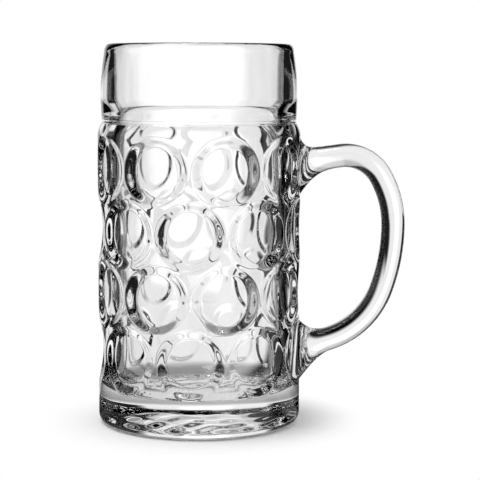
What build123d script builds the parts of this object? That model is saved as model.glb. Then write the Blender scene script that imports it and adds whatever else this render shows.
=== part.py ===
from build123d import *
import os
from math import asin, cos, degrees, radians, sin, sqrt, tan

# Dimpled one-litre glass tankard. Millimetres, +Z up, bowl axis on Z, standing face at Z = 0,
# handle along +X.

# Bowl, outside; an inset is measured in from the body's straight wall
mug_height = 200.0
body_radius = 53.5
foot_corner_radius = 5.0
standing_ring_inner_radius = 38.0
underside_recess = 2.0
recess_slope_run = 5.0
groove_height = 159.4
groove_depth = 2.6
shoulder_drop = 8.0
band_foot_inset = 2.2
band_foot_rise = 1.6
band_belly_inset = 1.8
band_belly_height = 173.5
lip_outer_round = 2.5
lip_inner_round = 2.4

# Bowl, inside
mouth_inset = 8.6
band_bore_inset = 8.9
band_bore_foot_height = 182.0
shoulder_bore_inset = 11.3
shoulder_bore_height = 158.0
floor_bore_inset = 12.1
floor_thickness = 17.0
floor_corner_radius = 13.0
floor_crown = 0.8

# Dimples: staggered rows pressed into the outside of the wall
dimples_per_row = 9
dimple_row_count = 4
lowest_dimple_height = 39.0
dimple_row_pitch = 32.2
dimple_radius = 16.7
dimple_depth = 2.8
dimple_rim_height = 1.4
dimple_tool_margin = 2.5

# Handle: a round bar bent into an ear, with a flared root at each end
bar_radius = 6.2
upper_root_height = 139.0
upper_leg_rise = 8.0
upper_leg_reach = 20.8
crown_bend_radius = 21.0
crown_bend_angle = 68.0
shoulder_bend_radius = 52.0
palm_bend_radius = 100.0
palm_bend_angle = 20.0
heel_bend_radius = 44.0
lower_leg_rise = 18.0
root_side_flare = 3.5
root_side_falloff = 4
upper_root_flare_above = 5.8
upper_root_falloff_above = 8
upper_root_flare_below = 11.3
upper_root_falloff_below = 3
lower_root_flare_above = 8.1
lower_root_flare_below = 10.5
lower_root_falloff = 2


def outer_profile():
    """Outside of the bowl, from the middle of the underside up to the crest of the lip."""
    shoulder_start = groove_height - shoulder_drop
    recess_middle = (0, underside_recess)
    recess_edge = (standing_ring_inner_radius - recess_slope_run, underside_recess)
    ring_inner = (standing_ring_inner_radius, 0)
    ring_outer = (body_radius - foot_corner_radius, 0)
    foot_top = (body_radius, foot_corner_radius)
    shoulder_foot = (body_radius, shoulder_start)
    groove = (body_radius - groove_depth, groove_height)
    band_foot = (body_radius - band_foot_inset, groove_height + band_foot_rise)
    belly = (body_radius - band_belly_inset, band_belly_height)
    lip_crest = (body_radius - mouth_inset + lip_inner_round, mug_height)
    lip_start = (lip_crest[0] + lip_outer_round, mug_height - lip_outer_round)
    # The shoulder leaves the straight wall at a tangent and falls in to the groove
    shoulder_radius = (groove_depth**2 + shoulder_drop**2) / (2 * groove_depth)
    return [
        Line(recess_middle, recess_edge),
        Line(recess_edge, ring_inner),
        Line(ring_inner, ring_outer),
        RadiusArc(ring_outer, foot_top, -foot_corner_radius),
        Line(foot_top, shoulder_foot),
        RadiusArc(shoulder_foot, groove, -shoulder_radius),
        Line(groove, band_foot),
        ThreePointArc(band_foot, belly, lip_start),
        RadiusArc(lip_start, lip_crest, -lip_outer_round),
    ]


def inner_profile():
    """Inside of the bowl, from the crest of the lip down to the middle of the floor."""
    lip_crest = (body_radius - mouth_inset + lip_inner_round, mug_height)
    mouth = (body_radius - mouth_inset, mug_height - lip_inner_round)
    band_bore = (body_radius - band_bore_inset, band_bore_foot_height)
    shoulder_bore = (body_radius - shoulder_bore_inset, shoulder_bore_height)
    wall_foot = (body_radius - floor_bore_inset, floor_thickness + floor_corner_radius)
    floor_edge = (wall_foot[0] - floor_corner_radius, floor_thickness)
    floor_middle = (0, floor_thickness + floor_crown)
    return [
        RadiusArc(lip_crest, mouth, -lip_inner_round),
        Line(mouth, band_bore),
        Line(band_bore, shoulder_bore),  # the wall thickens behind the groove
        Line(shoulder_bore, wall_foot),
        RadiusArc(wall_foot, floor_edge, floor_corner_radius),
        Line(floor_edge, floor_middle),
        Line(floor_middle, (0, underside_recess)),
    ]


def dimple_tool():
    """Dished coin that presses one dimple at azimuth 0, as deep at the rim all the way round."""
    dish = dimple_depth - dimple_rim_height
    upright_radius = dimple_radius**2 / (2 * dish)
    # Level, the floor follows the wall less its own dish; below zero it bulges instead
    level_radius = 1 / (2 * dish / dimple_radius**2 - 1 / body_radius)
    deepest = body_radius - dimple_depth
    back = body_radius + dimple_tool_margin
    half_chord = sqrt(upright_radius**2 - (upright_radius - (back - deepest)) ** 2)
    section = Plane.XZ * make_face(
        [
            ThreePointArc((back, -half_chord), (deepest, 0), (back, half_chord)),
            Line((back, half_chord), (back, -half_chord)),
        ]
    )
    swing_axis = Axis((deepest + level_radius, 0, 0), (0, 0, 1))
    half_swing = degrees(asin((dimple_radius + dimple_tool_margin) / level_radius))
    slab = revolve(section.rotate(swing_axis, -half_swing), swing_axis, 2 * half_swing)
    return slab & Pos(body_radius) * Rot(0, 90, 0) * Cylinder(dimple_radius, body_radius)


def dimple_cuts():
    """Every dimple: neighbouring rows stand half a pitch apart."""
    pitch = 360 / dimples_per_row
    tool = dimple_tool()
    cuts = []
    for row in range(dimple_row_count):
        lead = pitch / 4 if row % 2 else -pitch / 4
        height = lowest_dimple_height + row * dimple_row_pitch
        for place in range(dimples_per_row):
            cuts.append(Pos(0, 0, height) * Rot(0, 0, lead + place * pitch) * tool)
    return cuts


def make_bowl():
    section = Plane.XZ * make_face(outer_profile() + inner_profile())
    return revolve(section, Axis.Z) - dimple_cuts()


def bar_path():
    """Middle line of the bar between its two roots, as tangent arcs in the XZ plane."""
    start = (
        body_radius + upper_leg_reach,
        upper_root_height + upper_leg_reach * tan(radians(upper_leg_rise)),
    )
    heading = (cos(radians(upper_leg_rise)), sin(radians(upper_leg_rise)))
    shoulder_bend_angle = 90 + upper_leg_rise - crown_bend_angle
    heel_bend_angle = 90 - palm_bend_angle - lower_leg_rise
    bends = [
        (crown_bend_radius, crown_bend_angle),
        (shoulder_bend_radius, shoulder_bend_angle),
        (palm_bend_radius, palm_bend_angle),
        (heel_bend_radius, heel_bend_angle),
    ]
    arcs = []
    for radius, angle in bends:
        arc = JernArc(start, heading, radius, -angle)
        arcs.append(arc)
        start = arc @ 1
        heading = arc % 1
    return arcs


def root(leg_end, rise, above, above_falloff, below, below_falloff):
    """Trumpet from the wall out to the bar: upright ellipses that lean into the bar's round."""
    reach = leg_end.X - body_radius
    # The wall falls away at the sides of the root, so the trumpet starts that much further in
    side_sag = body_radius - sqrt(body_radius**2 - (bar_radius + root_side_flare) ** 2)
    # Stations crowd together at the wall, where the flare turns fastest
    stations = 6
    crowding = 1.5
    sections = []
    for station in range(stations + 1):
        share = (station / stations) ** crowding
        distance = share * (reach + side_sag) - side_sag
        left = 1 - distance / reach
        lean = radians(rise) * share
        middle = leg_end.Z + (distance - reach) * tan(radians(rise))
        upright = bar_radius / cos(radians(rise) - lean)
        top = upright + above * left**above_falloff
        bottom = upright + below * left**below_falloff
        width = bar_radius + root_side_flare * left**root_side_falloff
        out = Vector(cos(lean), 0, sin(lean))
        up = Vector(-sin(lean), 0, cos(lean))
        centre = Vector(body_radius + distance, 0, middle) + up * ((top - bottom) / 2)
        sections.append(Plane(centre, up, out) * Ellipse((top + bottom) / 2, width))
    # The plug reaches past the floor of a dimple, so the glass fills any dimple behind the root
    plug = extrude(sections[0], amount=-2 * dimple_depth)
    return loft(sections) + plug


def make_handle(bowl):
    arcs = bar_path()
    path = Plane.XZ * Wire(arcs)
    upper_end = path @ 0
    lower_arc_end = path @ 1
    bar = sweep(Plane(upper_end, z_dir=path % 0) * Circle(bar_radius), path)
    upper_root = root(
        upper_end,
        upper_leg_rise,
        upper_root_flare_above,
        upper_root_falloff_above,
        upper_root_flare_below,
        upper_root_falloff_below,
    )
    lower_root = root(
        lower_arc_end,
        lower_leg_rise,
        lower_root_flare_above,
        lower_root_falloff,
        lower_root_flare_below,
        lower_root_falloff,
    )
    # The roots are welded to the wall, so they end on its surface, dimples and all. Glass in a
    # dimple that a root only grazes would lie loose in it, so the one largest solid is kept.
    welded = (bar + upper_root + lower_root) - bowl
    return welded.solids().sort_by(SortBy.VOLUME)[-1]


bowl = make_bowl()
handle = make_handle(bowl)

os.makedirs("parts", exist_ok=True)
for node, shape in {"bowl": bowl, "handle": handle}.items():
    export_step(shape, f"parts/{node}.step")
    print(node, "volume", round(shape.volume / 1000, 1), "cm3, solids", len(shape.solids()))
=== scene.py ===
from math import atan2, cos, hypot, pi, radians, sin, tan

import bpy
import numpy as np
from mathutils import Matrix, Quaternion, Vector


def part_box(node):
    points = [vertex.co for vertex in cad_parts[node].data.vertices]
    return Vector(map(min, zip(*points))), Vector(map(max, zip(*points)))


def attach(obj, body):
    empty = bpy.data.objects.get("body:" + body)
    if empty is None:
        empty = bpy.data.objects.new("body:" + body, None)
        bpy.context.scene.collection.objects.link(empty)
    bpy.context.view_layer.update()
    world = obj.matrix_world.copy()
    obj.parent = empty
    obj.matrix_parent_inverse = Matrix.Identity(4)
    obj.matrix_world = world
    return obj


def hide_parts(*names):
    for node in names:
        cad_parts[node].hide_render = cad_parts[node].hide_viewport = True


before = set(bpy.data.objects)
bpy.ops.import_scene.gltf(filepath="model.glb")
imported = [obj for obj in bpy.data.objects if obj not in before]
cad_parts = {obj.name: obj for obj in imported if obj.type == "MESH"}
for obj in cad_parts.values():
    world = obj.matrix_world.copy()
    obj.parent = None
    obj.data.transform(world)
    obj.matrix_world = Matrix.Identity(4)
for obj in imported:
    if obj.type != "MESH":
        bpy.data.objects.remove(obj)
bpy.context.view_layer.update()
mm = 0.001
print("frame loaded:", sorted(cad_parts))

# everything below is worked out in millimetres and scaled where an object is made

bowl = {
    "height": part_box("bowl")[1].z / mm,
    "bodyRadius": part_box("bowl")[1].y / mm,
    "footCorner": 5.0,
    "footRings": 10,
    "ringInner": 38.0,  # flat ring that it stands on
    "ringBend": 1.0,  # how far its inner edge is melted round
    "recess": 2.0,
    "recessSlope": 5.0,
    "recessBend": 1.5,
    "recessLead": 2.0,  # the flat of the recess stops this far short of its corner
    "groove": (50.9, 159.4),
    "grooveBend": 0.5,
    "shoulderDrop": 8.0,
    "shoulderEnd": 0.95,  # share of the shoulder's arc, the rest is melted into the groove
    "bandFoot": (51.3, 161.0),
    "bandBelly": (51.7, 173.5),
    "lipOuter": (2.5, 4.5),  # how wide and how tall the lip is melted round, outside
    "lipInner": (2.4, 2.4),
    "mouth": 44.9,
    "bandBore": (44.6, 182.0),
    "shoulderBore": (42.2, 158.0),
    "boreTurn": (0.42, 1.0),  # shares of the way between those two where the bore draws in
    "boreRings": 30,
    "floorBore": 41.4,
    "floorThick": 17.0,
    "floorCorner": 13.0,
    "floorCrown": 0.8,
    "ripple": 0.08,  # unevenness of the inside, as a plunger leaves it
    "rippleWaves": ((5, 0.13, 0), (8, -0.17, 1), (3, 0.24, 2)),  # waves round, steepness up, phase
    "rippleFull": 60.0,
    "rippleEnd": (120.0, 150.0),
    "stipple": 0.35,  # knurl under the standing ring
    "stippleWaves": ((23, 0.5, 0), (41, -0.6, 1), (13, 0.3, 2)),
    "stippleEnd": (47.0, 49.0),
    "underWave": 0.55,  # unevenness of the recess
    "underWaves": ((0.25, 0.12, 0), (-0.2, 0.3, 1), (0.4, 0.17, 2)),
    "underMiddle": 3.0,  # the waves die away within this of the axis
    "rowStep": 0.55,  # mesh spacing up the dimpled wall
    "columnStep": 0.6,  # degrees round the wall
    "fineStep": 0.4,  # degrees, behind the handle
    "fineSpan": 14.0,
    "weldSlack": 1.0,  # a face behind the handle lies no deeper than a dimple and this
}

dimple = {
    "perRow": 9,
    "rows": 4,
    "lowest": 39.0,
    "rowPitch": 32.2,
    "radius": 16.7,
    "depth": 2.8,
    "rimHeight": 2.3,
    "rimRound": (12.2, 18.4),  # the rim is melted round between these two
}


def lineTo(path, end, step):  # straight run in even steps
    r, z = path[-1]
    count = max(1, round(hypot(end[0] - r, end[1] - z) / step))
    for k in range(1, count + 1):
        path.append((r + (end[0] - r) * k / count, z + (end[1] - z) * k / count))


def arcTo(path, centre, turn, steps):  # round run about a centre, turn in degrees
    r, z = path[-1][0] - centre[0], path[-1][1] - centre[1]
    size, start = hypot(r, z), atan2(z, r)
    for k in range(1, steps + 1):
        angle = start + radians(turn) * k / steps
        path.append((centre[0] + size * cos(angle), centre[1] + size * sin(angle)))


def bendTo(path, corner, end, size, steps=4):  # straight run with its far corner melted round
    r, z = path[-1]
    back = Vector((r - corner[0], z - corner[1])).normalized() * size
    ahead = Vector((end[0] - corner[0], end[1] - corner[1])).normalized() * size
    a, b = Vector(corner) + back, Vector(corner) + ahead
    path.append(tuple(a))
    for k in range(1, steps + 1):
        t = k / steps
        path.append(tuple(a * (1 - t) ** 2 + Vector(corner) * 2 * t * (1 - t) + b * t**2))


def arcThrough(path, middle, end, steps):  # round run through three points
    (ax, ay), (bx, by), (cx, cy) = path[-1], middle, end
    d = 2 * (ax * (by - cy) + bx * (cy - ay) + cx * (ay - by))
    a2, b2, c2 = ax * ax + ay * ay, bx * bx + by * by, cx * cx + cy * cy
    centre = (
        (a2 * (by - cy) + b2 * (cy - ay) + c2 * (ay - by)) / d,
        (a2 * (cx - bx) + b2 * (ax - cx) + c2 * (bx - ax)) / d,
    )
    turn = atan2(cy - centre[1], cx - centre[0]) - atan2(ay - centre[1], ax - centre[0])
    arcTo(path, centre, turn * 180 / pi, steps)


def ellipseTo(path, centre, wide, tall, start, steps):  # a quarter turn of an ellipse
    for k in range(1, steps + 1):
        angle = radians(start + 90 * k / steps)
        path.append((centre[0] + wide * cos(angle), centre[1] + tall * sin(angle)))


def smooth(value, start, end):
    t = np.clip((value - start) / (end - start), 0, 1)
    return t * t * (3 - 2 * t)


def dimpleDepth(azimuth, z):  # how deep the pressed wall lies below its plain cylinder
    pitch = 2 * pi / dimple["perRow"]
    total = np.zeros(np.broadcast(azimuth, z).shape)
    for row in range(dimple["rows"]):
        lead = pitch / 4 if row % 2 else -pitch / 4
        off = (azimuth - lead + pitch / 2) % pitch - pitch / 2
        away = np.hypot(bowl["bodyRadius"] * off, z - dimple["lowest"] - row * dimple["rowPitch"])
        dish = (dimple["depth"] - dimple["rimHeight"]) * (1 - (away / dimple["radius"]) ** 2)
        rim = 1 - smooth(away, *dimple["rimRound"])
        total = np.maximum(total, (dimple["rimHeight"] + dish) * rim)
    return total


def wallRadius(azimuth, z):
    return bowl["bodyRadius"] - dimpleDepth(azimuth, z)


def bowlOutline():  # half section, from the middle of the underside out, up, over the lip and down inside
    b = bowl
    path = [(0.0, b["recess"])]
    recessEdge = (b["ringInner"] - b["recessSlope"], b["recess"])
    lineTo(path, (recessEdge[0] - b["recessLead"], b["recess"]), step=1.2)
    bendTo(path, recessEdge, (b["ringInner"], 0), b["recessBend"])
    bendTo(path, (b["ringInner"], 0), (b["bodyRadius"], 0), b["ringBend"])
    lineTo(path, (b["bodyRadius"] - b["footCorner"], 0), step=1.5)
    arcTo(path, (b["bodyRadius"] - b["footCorner"], b["footCorner"]), turn=90, steps=b["footRings"])
    wallStart = len(path)
    wallTop = b["groove"][1] - b["shoulderDrop"]
    lineTo(path, (b["bodyRadius"], wallTop), b["rowStep"])
    inset = b["bodyRadius"] - b["groove"][0]
    size = (inset**2 + b["shoulderDrop"] ** 2) / (2 * inset)
    turn = atan2(b["shoulderDrop"], size - inset) * 180 / pi
    arcTo(path, (b["bodyRadius"] - size, wallTop), turn * b["shoulderEnd"], steps=14)
    wallEnd = len(path)
    bendTo(path, b["groove"], b["bandFoot"], b["grooveBend"])
    bendTo(path, b["bandFoot"], b["bandBelly"], b["grooveBend"])
    crest = b["mouth"] + b["lipInner"][0]
    (wide, tall), (wideIn, tallIn) = b["lipOuter"], b["lipInner"]
    arcThrough(path, b["bandBelly"], (crest + wide, b["height"] - tall), steps=26)
    ellipseTo(path, (crest, b["height"] - tall), wide, tall, start=0, steps=12)
    ellipseTo(path, (crest, b["height"] - tallIn), wideIn, tallIn, start=90, steps=8)
    lineTo(path, b["bandBore"], step=2.5)
    (r0, z0), (r1, z1) = b["bandBore"], b["shoulderBore"]
    for k in range(1, b["boreRings"] + 1):  # the wall thickens behind the groove in a soft S
        t = k / b["boreRings"]
        path.append((r0 + (r1 - r0) * smooth(t, *b["boreTurn"]), z0 + (z1 - z0) * t))
    cornerTop = b["floorThick"] + b["floorCorner"]
    lineTo(path, (b["floorBore"], cornerTop), step=3)
    arcTo(path, (b["floorBore"] - b["floorCorner"], cornerTop), turn=-90, steps=14)
    lineTo(path, (0.0, b["floorThick"] + b["floorCrown"]), step=4)
    return path, wallStart, wallEnd


def bowlColumns():  # azimuths, closer together behind the handle
    span = bowl["fineSpan"]
    fine = np.arange(-span, span, bowl["fineStep"])
    count = round((360 - 2 * span) / bowl["columnStep"])
    plain = span + (360 - 2 * span) * np.arange(count) / count
    return np.radians(np.concatenate([fine, plain]))


def gridFaces(rings, columns):  # quads of a closed grid
    i, j = np.meshgrid(np.arange(rings - 1), np.arange(columns), indexing="ij")
    a, b = i * columns + j, i * columns + (j + 1) % columns
    return np.stack([a, b, b + columns, a + columns], axis=-1).reshape(-1, 4)


def meshPiece(name, points, faces, materials, faceMaterial=None):
    mesh = bpy.data.meshes.new(name)
    mesh.from_pydata((np.asarray(points) * mm).tolist(), [], faces)
    for material in materials:
        mesh.materials.append(material)
    mesh.polygons.foreach_set("use_smooth", np.ones(len(faces), bool))
    if faceMaterial is not None:
        mesh.polygons.foreach_set("material_index", np.asarray(faceMaterial, np.int32))
    mesh.update()
    piece = bpy.data.objects.new(name, mesh)
    bpy.context.scene.collection.objects.link(piece)
    return piece


def insideRing(ring, y, z):  # which points lie inside a root's outline on the wall
    cy, cz = ring[:, 1].mean(), ring[:, 2].mean()
    angle = np.arctan2(ring[:, 2] - cz, ring[:, 1] - cy)
    order = np.argsort(angle)
    reach = np.hypot(ring[:, 2] - cz, ring[:, 1] - cy)[order]
    limit = np.interp(np.arctan2(z - cz, y - cy), angle[order], reach, period=2 * pi)
    return np.hypot(z - cz, y - cy) < limit


def crossWaves(waves, a, b):  # waves that run across each other
    return sum(np.sin(alongA * a + alongB * b + phase) for alongA, alongB, phase in waves)


def ripples(azimuth, z):  # gentle waves up the bore, none at the mouth or on the floor
    waves = crossWaves(bowl["rippleWaves"], azimuth, z)
    fade = smooth(z, bowl["floorThick"] + bowl["floorCorner"], bowl["rippleFull"])
    fade = fade * (1 - smooth(z, *bowl["rippleEnd"]))
    return bowl["ripple"] * waves * fade


def stipples(azimuth, r):  # uneven underside, none of it lower than the standing face
    waves = crossWaves(bowl["underWaves"], r * np.cos(azimuth), r * np.sin(azimuth))
    teeth = crossWaves(bowl["stippleWaves"], azimuth, r)
    ring = smooth(r, bowl["ringInner"] - bowl["recessSlope"], bowl["ringInner"])
    inner = bowl["underWave"] * waves * smooth(r, 0, bowl["underMiddle"]) * (1 - ring)
    outer = bowl["stipple"] * np.maximum(teeth, 0) * ring
    return inner + outer * (1 - smooth(r, *bowl["stippleEnd"]))


def makeBowl(materials, roots):
    path, wallStart, wallEnd = bowlOutline()
    rings, azimuth = np.array(path[1:-1]), bowlColumns()
    radius = np.repeat(rings[:, :1], len(azimuth), axis=1)
    height = np.repeat(rings[:, 1:], len(azimuth), axis=1)
    wall = slice(wallStart - 1, wallEnd - 1)
    radius[wall] -= dimpleDepth(azimuth[None, :], rings[wall, 1:])
    inside = np.arange(len(rings)) > np.argmax(rings[:, 1])
    radius[inside] += ripples(azimuth[None, :], rings[inside, 1:])
    underside = slice(0, wallStart - bowl["footRings"] - 2)  # all but the outermost ring of the flat
    height[underside] += stipples(azimuth[None, :], rings[underside, :1])
    points = np.stack([radius * np.cos(azimuth), radius * np.sin(azimuth), height], axis=-1)
    points = points.reshape(-1, 3)
    quads = gridFaces(len(rings), len(azimuth))
    middles = points[quads].mean(axis=1)
    rim = np.hypot(middles[:, 0], middles[:, 1])
    facing = (middles[:, 0] > 0) & (rim > bowl["bodyRadius"] - dimple["depth"] - bowl["weldSlack"])
    weld = np.zeros(len(quads), bool)
    for ring in roots:
        weld |= facing & insideRing(ring, middles[:, 1], middles[:, 2])
    faces, n, last = quads.tolist(), len(azimuth), (len(rings) - 1) * len(azimuth)
    under, floor = len(points), len(points) + 1
    points = np.vstack([points, [(0, 0, path[0][1]), (0, 0, path[-1][1])]])
    faces += [(under, (j + 1) % n, j) for j in range(n)]
    faces += [(floor, last + j, last + (j + 1) % n) for j in range(n)]
    kind = np.concatenate([weld.astype(int), np.zeros(2 * n, int)])
    print("bowl:", len(points), "points,", int(weld.sum()), "faces behind the handle")
    return meshPiece("glass_bowl", points, faces, materials, kind)


handle = {
    "barRadius": 6.2,
    "upperHeight": 139.0,
    "upperRise": 8.0,
    "upperReach": 20.8,
    "bends": [(21.0, 68.0), (52.0, 30.0), (100.0, 20.0), (44.0, 52.0)],  # radius and angle, from the top
    "lowerRise": 18.0,
    "sideFlare": 3.5,
    "sideFall": 4,
    "upperFlare": (5.8, 8, 11.3, 3),  # above, its falloff, below, its falloff
    "lowerFlare": (8.1, 2, 10.5, 2),
    "around": 64,
    "bendSpan": 60.0,  # one ring for so many degrees times millimetres of bend
    "fewestRings": 8,
    "rootRings": 26,
    "rootCrowding": 1.6,  # the rings crowd together at the wall
    "rootSearch": (-5.0, 6.0),  # a root meets the wall somewhere between these
    "halvings": 40,
    "wallPasses": 12,
    "capRings": (0.25, 0.5, 0.75, 0.92),  # shares of the way out across a welded end
}


def barRings(t):  # round rings along the ear, and where the ear ends
    h = handle
    heading = radians(h["upperRise"])
    x = bowl["bodyRadius"] + h["upperReach"]
    z = h["upperHeight"] + h["upperReach"] * tan(heading)
    ends, rings = [(x, z)], []
    for size, angle in h["bends"]:
        steps = max(h["fewestRings"], round(angle * size / h["bendSpan"]))
        cx, cz = x + size * sin(heading), z - size * cos(heading)
        for k in range(steps):
            a = heading - radians(angle) * (k + 1) / steps
            x, z = cx - size * sin(a), cz + size * cos(a)
            out = h["barRadius"] * np.cos(t)
            rings.append(np.stack([x - sin(a) * out, h["barRadius"] * np.sin(t), z + cos(a) * out], -1))
        heading = a
    ends.append((x, z))
    return rings[:-1], ends


def rootPoints(root, d, t):  # a point on the trumpet, d out from the wall and t round it
    h = handle
    reach, rise = root["end"][0] - bowl["bodyRadius"], radians(root["rise"])
    above, aboveFall, below, belowFall = root["flare"]
    left = 1 - d / reach
    lean = rise * (1 - left)
    upright = h["barRadius"] / np.cos(rise - lean)
    top, bottom = upright + above * left**aboveFall, upright + below * left**belowFall
    lift = (top - bottom) / 2 + root["side"] * (top + bottom) / 2 * np.cos(t)
    x = bowl["bodyRadius"] + d - np.sin(lean) * lift
    z = root["end"][1] + (d - reach) * tan(rise) + np.cos(lean) * lift
    y = (h["barRadius"] + h["sideFlare"] * left**h["sideFall"]) * np.sin(t)
    return np.stack([x, y, z], -1)


def ontoWall(y, z):  # the wall's point at this y and z
    x = np.sqrt(bowl["bodyRadius"] ** 2 - y**2)
    for _ in range(handle["wallPasses"]):
        x = np.sqrt(wallRadius(np.arctan2(y, x), z) ** 2 - y**2)
    return np.stack([x, y, z], -1)


def rootRings(root, t):  # rings from the wall out to the bar
    h = handle
    low, high = (np.full(len(t), limit) for limit in h["rootSearch"])
    for _ in range(h["halvings"]):
        middle = (low + high) / 2
        p = rootPoints(root, middle, t)
        outside = np.hypot(p[:, 0], p[:, 1]) > wallRadius(np.arctan2(p[:, 1], p[:, 0]), p[:, 2])
        low, high = np.where(outside, low, middle), np.where(outside, middle, high)
    reach = root["end"][0] - bowl["bodyRadius"]
    rings = []
    for k in range(h["rootRings"] + 1):
        share = (k / h["rootRings"]) ** h["rootCrowding"]
        rings.append(rootPoints(root, high + (reach - high) * share, t))
    foot = rings[0]
    cy, cz = foot[:, 1].mean(), foot[:, 2].mean()
    outY, outZ = foot[:, 1] - cy, foot[:, 2] - cz
    caps = [ontoWall(cy + outY * share, cz + outZ * share) for share in h["capRings"]]
    return caps, rings, ontoWall(np.array([cy]), np.array([cz]))


def handleParts():
    t = -2 * pi * np.arange(handle["around"]) / handle["around"]  # this way round the faces look outwards
    bar, ends = barRings(t)
    upper = {"end": ends[0], "rise": handle["upperRise"], "flare": handle["upperFlare"], "side": 1}
    lower = {"end": ends[1], "rise": handle["lowerRise"], "flare": handle["lowerFlare"], "side": -1}
    return bar, rootRings(upper, t), rootRings(lower, t)


def makeHandle(materials, bar, upper, lower):
    rings = upper[0] + upper[1] + bar + (lower[0] + lower[1])[::-1]
    n, caps = handle["around"], len(upper[0])
    points = np.vstack(rings + [upper[2], lower[2]])
    quads = gridFaces(len(rings), n)
    weld = np.zeros(len(quads), int)
    weld[: caps * n] = 1
    weld[-caps * n :] = 1
    faces, last = quads.tolist(), (len(rings) - 1) * n
    top, foot = len(points) - 2, len(points) - 1
    faces += [(top, (j + 1) % n, j) for j in range(n)]
    faces += [(foot, last + j, last + (j + 1) % n) for j in range(n)]
    kind = np.concatenate([weld, np.ones(2 * n, int)])
    print("handle:", len(points), "points")
    return meshPiece("ear_handle", points, faces, materials, kind)


glass = {
    "color": (1, 1, 1, 1),
    "ior": 1.52,
    "roughness": (0.0, 0.02),
    "cloudScale": 45.0,
    "skin": 0.08,  # how strongly the polished skin is uneven
}


def clearGlass():
    material = bpy.data.materials.new("clear_glass")
    material.use_nodes = True
    shader = material.node_tree.nodes["Principled BSDF"]
    shader.inputs["Base Color"].default_value = glass["color"]
    shader.inputs["IOR"].default_value = glass["ior"]
    shader.inputs["Transmission Weight"].default_value = 1
    nodes, links = material.node_tree.nodes, material.node_tree.links
    place, cloud = nodes.new("ShaderNodeTexCoord"), nodes.new("ShaderNodeTexNoise")
    cloud.inputs["Scale"].default_value = glass["cloudScale"]
    links.new(place.outputs["Object"], cloud.inputs["Vector"])
    wear = nodes.new("ShaderNodeMapRange")  # a polished skin that is nowhere quite even
    wear.inputs["To Min"].default_value, wear.inputs["To Max"].default_value = glass["roughness"]
    links.new(cloud.outputs["Fac"], wear.inputs["Value"])
    links.new(wear.outputs["Result"], shader.inputs["Roughness"])
    skin = nodes.new("ShaderNodeBump")
    skin.inputs["Strength"].default_value = glass["skin"]
    skin.inputs["Distance"].default_value = mm
    links.new(cloud.outputs["Fac"], skin.inputs["Height"])
    links.new(skin.outputs["Normal"], shader.inputs["Normal"])
    return material


def weldedGlass():  # where the handle is melted onto the wall there is no surface to see
    material = bpy.data.materials.new("melted_join")
    material.use_nodes = True
    nodes, links = material.node_tree.nodes, material.node_tree.links
    nodes.clear()
    output = nodes.new("ShaderNodeOutputMaterial")
    links.new(nodes.new("ShaderNodeBsdfTransparent").outputs[0], output.inputs["Surface"])
    return material


materials = [clearGlass(), weldedGlass()]
bar, upperRoot, lowerRoot = handleParts()
bowlPiece = makeBowl(materials, [upperRoot[1][0], lowerRoot[1][0]])
handlePiece = makeHandle(materials, bar, upperRoot, lowerRoot)
for piece, node in ((bowlPiece, "bowl"), (handlePiece, "handle")):
    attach(piece, "root")
    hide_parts(node)
print("mug made")

studio = {
    "floorDrop": 0.1,  # keeps the floor off the standing ring
    "floorRadius": 6000.0,
    "floorColor": (0.9, 0.9, 0.9, 1),
    "fadeFrom": 54.0,  # the floor turns to plain white between these two
    "fadeTo": 90.0,
    "fill": 0.9,
    "keySize": 900.0,
    "keyPlace": (-500.0, -300.0, 1500.0),
    "keyPower": 9.0,
}


def seenNodes(nodes, links):  # 1 for what the camera sees, straight or by way of glass
    paths = nodes.new("ShaderNodeLightPath")
    seen = paths.outputs["Is Camera Ray"]
    for name in ("Is Glossy Ray", "Is Transmission Ray"):
        larger = nodes.new("ShaderNodeMath")
        larger.operation = "MAXIMUM"
        links.new(seen, larger.inputs[0])
        links.new(paths.outputs[name], larger.inputs[1])
        seen = larger.outputs[0]
    return seen


def whiteWorld():
    world = bpy.data.worlds.new("studio")
    bpy.context.scene.world = world
    world.use_nodes = True
    nodes, links = world.node_tree.nodes, world.node_tree.links
    nodes.clear()
    fill, white = nodes.new("ShaderNodeBackground"), nodes.new("ShaderNodeBackground")
    fill.inputs["Strength"].default_value = studio["fill"]
    fill.inputs["Color"].default_value = (1, 1, 1, 1)
    white.inputs["Color"].default_value = (1, 1, 1, 1)
    mix, output = nodes.new("ShaderNodeMixShader"), nodes.new("ShaderNodeOutputWorld")
    links.new(seenNodes(nodes, links), mix.inputs[0])
    links.new(fill.outputs[0], mix.inputs[1])
    links.new(white.outputs[0], mix.inputs[2])
    links.new(mix.outputs[0], output.inputs["Surface"])


def floorMaterial():
    material = bpy.data.materials.new("floor_white")
    material.use_nodes = True
    nodes, links = material.node_tree.nodes, material.node_tree.links
    nodes.clear()
    diffuse, plain = nodes.new("ShaderNodeBsdfDiffuse"), nodes.new("ShaderNodeEmission")
    diffuse.inputs["Color"].default_value = studio["floorColor"]
    place, length = nodes.new("ShaderNodeTexCoord"), nodes.new("ShaderNodeVectorMath")
    length.operation = "LENGTH"
    links.new(place.outputs["Object"], length.inputs[0])
    fade = nodes.new("ShaderNodeMapRange")
    fade.interpolation_type = "SMOOTHSTEP"
    fade.inputs["From Min"].default_value = studio["fadeFrom"] * mm
    fade.inputs["From Max"].default_value = studio["fadeTo"] * mm
    links.new(length.outputs["Value"], fade.inputs["Value"])
    mix, output = nodes.new("ShaderNodeMixShader"), nodes.new("ShaderNodeOutputMaterial")
    links.new(fade.outputs["Result"], mix.inputs[0])
    links.new(diffuse.outputs[0], mix.inputs[1])
    links.new(plain.outputs[0], mix.inputs[2])
    links.new(mix.outputs[0], output.inputs["Surface"])
    return material


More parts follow.
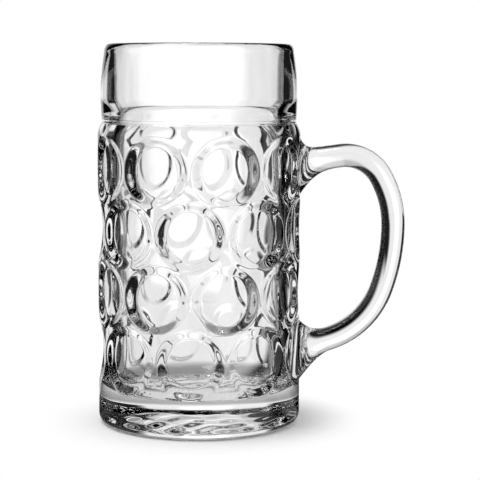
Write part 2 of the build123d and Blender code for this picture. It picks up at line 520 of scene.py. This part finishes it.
def makeFloor():
    bpy.ops.mesh.primitive_circle_add(
        vertices=96, radius=studio["floorRadius"] * mm, fill_type="TRIFAN",
        location=(0, 0, -studio["floorDrop"] * mm),
    )
    floor = bpy.context.object
    floor.name = "floor"
    floor.data.materials.append(floorMaterial())


def makeKey():
    data = bpy.data.lights.new("key", "AREA")
    data.shape = "DISK"
    data.size = studio["keySize"] * mm
    data.energy = studio["keyPower"]
    lamp = bpy.data.objects.new("key", data)
    bpy.context.scene.collection.objects.link(lamp)
    lamp.location = Vector(studio["keyPlace"]) * mm
    lamp.rotation_euler = (Vector((0, 0, 0)) - lamp.location).to_track_quat("-Z", "Y").to_euler()


tent = {  # glowing tent that only the glass sees: light behind the mug, dark at its sides
    "radius": 1500.0,
    "height": 2900.0,
    "glow": 1.2,
    "dark": 0.01,
    "behind": (99.0, 24.0, 29.0, 0.75),  # middle azimuth, light to here, dark from here, how bright
    "core": (97.0, 5.0, 21.0, 1.0),
    "behindHead": ((8.0, 20.0, 0.4), (35.0, 60.0, 0.4)),  # degrees up, where these dim and how much
    "left": (180.0, 6.0, 12.0, 0.8),
    "right": (8.0, 6.0, 12.0, 0.6),
    "front": (315.0, 13.0, 19.0, 0.85),
    "sideHead": (22.0, 40.0),  # degrees up, where the side windows fade
    "top": (175.0, 45.0, 80.0, 0.05),
    "topFoot": (35.0, 60.0),
    "nearBehind": (94.0, 24.0, 40.0, 0.78),  # windows on the floor
    "nearLeft": (136.0, 6.0, 13.0, 0.8),
    "nearSide": (182.0, 5.0, 11.0, 0.2),
    "nearRight": (8.0, 8.0, 16.0, 0.5),
    "nearFront": (315.0, 20.0, 30.0, 0.7),
    "nearEnd": (450.0, 620.0),  # between these the floor fades over to the wall's light
    "farUp": -10.0,  # the far floor is as bright as a wall at this many degrees up
    "paintedShadow": (66.0, 110.0, 0.35),  # painted shadow of the mug: the tent's floor glows dimmer close to it
    "under": (44.0, 56.0, 0.6),  # and a painted pool of light beneath it
    "columnStep": 3.0,  # degrees
    "floorRings": ((2.0, 180.0, 6.0), (180.0, 660.0, 30.0)),  # from, to, step
    "domeRings": ((1.0, 30.0, 1.5), (30.0, 90.0, 4.0)),  # the same in degrees up
    "crown": 89.5,
}


def tentWindow(azimuth, name):
    middle, light, dark, bright = tent[name]
    return bright * (1 - smooth(np.abs((azimuth - middle + 180) % 360 - 180), light, dark))


def tentLight(azimuth, up):  # how bright the tent is in a direction
    behind = np.maximum(tentWindow(azimuth, "behind"), tentWindow(azimuth, "core"))
    fade = 1
    for start, end, loss in tent["behindHead"]:
        fade = fade - loss * smooth(up, start, end)
    sides = np.max([tentWindow(azimuth, name) for name in ("left", "right", "front")], axis=0)
    sides = sides * (1 - smooth(up, *tent["sideHead"]))
    top = tentWindow(azimuth, "top") * smooth(up, *tent["topFoot"])
    return np.clip(np.max([behind * fade, sides, top], axis=0), tent["dark"], 1)


def floorLight(azimuth, r):  # how bright the tent's floor is
    names = ("nearBehind", "nearLeft", "nearSide", "nearRight", "nearFront")
    near = np.max([tentWindow(azimuth, name) for name in names], axis=0)
    dimFrom, dimTo, dim = tent["paintedShadow"]
    litFrom, litTo, lit = tent["under"]
    # painted shadow of the mug close to it, and a painted pool of light beneath it
    near = near * (dim + (1 - dim) * smooth(r, dimFrom, dimTo))
    near = np.maximum(near, lit * (1 - smooth(r, litFrom, litTo)))
    share = smooth(r, *tent["nearEnd"])
    return near * (1 - share) + tentLight(azimuth, tent["farUp"]) * share


def spread(spans, last):  # even steps over each span in turn, and a last value
    return np.concatenate([np.arange(*span) for span in spans] + [[last]])


def levelRing(turns, r, z):
    return np.stack([r * np.cos(turns), r * np.sin(turns), np.full(len(turns), z)], -1)


def makeTent():
    azimuth = np.arange(0, 360, tent["columnStep"])
    turns, points, light = np.radians(azimuth), [], []
    for r in spread(tent["floorRings"], tent["radius"]):
        points.append(levelRing(turns, r, -studio["floorDrop"] / 2))
        light.append(floorLight(azimuth, r))
    for up in np.radians(spread(tent["domeRings"], tent["crown"])):
        r, z = tent["radius"] * cos(up), tent["height"] * sin(up)
        points.append(levelRing(turns, r, z))
        light.append(tentLight(azimuth, atan2(z - bowl["height"] / 2, r) * 180 / pi))
    faces = gridFaces(len(points), len(turns)).tolist()
    cloth = meshPiece("tent", np.vstack(points), faces, [tentGlow()])
    layer = cloth.data.attributes.new("light", "FLOAT", "POINT")
    layer.data.foreach_set("value", np.concatenate(light).astype(np.float32))
    cloth.visible_camera = cloth.visible_shadow = cloth.visible_diffuse = False


def tentGlow():
    material = bpy.data.materials.new("tent_glow")
    material.use_nodes = True
    nodes, links = material.node_tree.nodes, material.node_tree.links
    nodes.clear()
    light, glow = nodes.new("ShaderNodeAttribute"), nodes.new("ShaderNodeEmission")
    light.attribute_name = "light"
    scale, output = nodes.new("ShaderNodeMath"), nodes.new("ShaderNodeOutputMaterial")
    scale.operation = "MULTIPLY"
    scale.inputs[1].default_value = tent["glow"]
    links.new(light.outputs["Fac"], scale.inputs[0])
    links.new(scale.outputs[0], glow.inputs["Strength"])
    links.new(glow.outputs[0], output.inputs["Surface"])
    return material


whiteWorld()
makeFloor()
makeKey()
makeTent()
print("studio lit")

view = {
    "azimuth": 5.0,  # degrees round from looking along +Y
    "distance": 828.0,
    "height": 186.2,
    "down": 6.17,
    "right": 1.5,
    "roll": 0.15,
    "lens": 117.5,
    "sensor": 36.0,
}


def makeCamera():
    turn = radians(view["azimuth"])
    aim, down = turn - radians(view["right"]), radians(view["down"])
    camera = bpy.data.objects.new("camera", bpy.data.cameras.new("camera"))
    bpy.context.scene.collection.objects.link(camera)
    place = Vector((view["distance"] * sin(turn), -view["distance"] * cos(turn), view["height"]))
    camera.location = place * mm
    look = Vector((-sin(aim) * cos(down), cos(aim) * cos(down), -sin(down)))
    roll = Quaternion((0, 0, 1), radians(view["roll"]))
    camera.rotation_euler = (look.to_track_quat("-Z", "Y") @ roll).to_euler()
    camera.data.lens = view["lens"]
    camera.data.sensor_width = view["sensor"]
    bpy.context.scene.camera = camera


makeCamera()
bpy.context.scene.view_settings.view_transform = "Standard"
print("camera set")
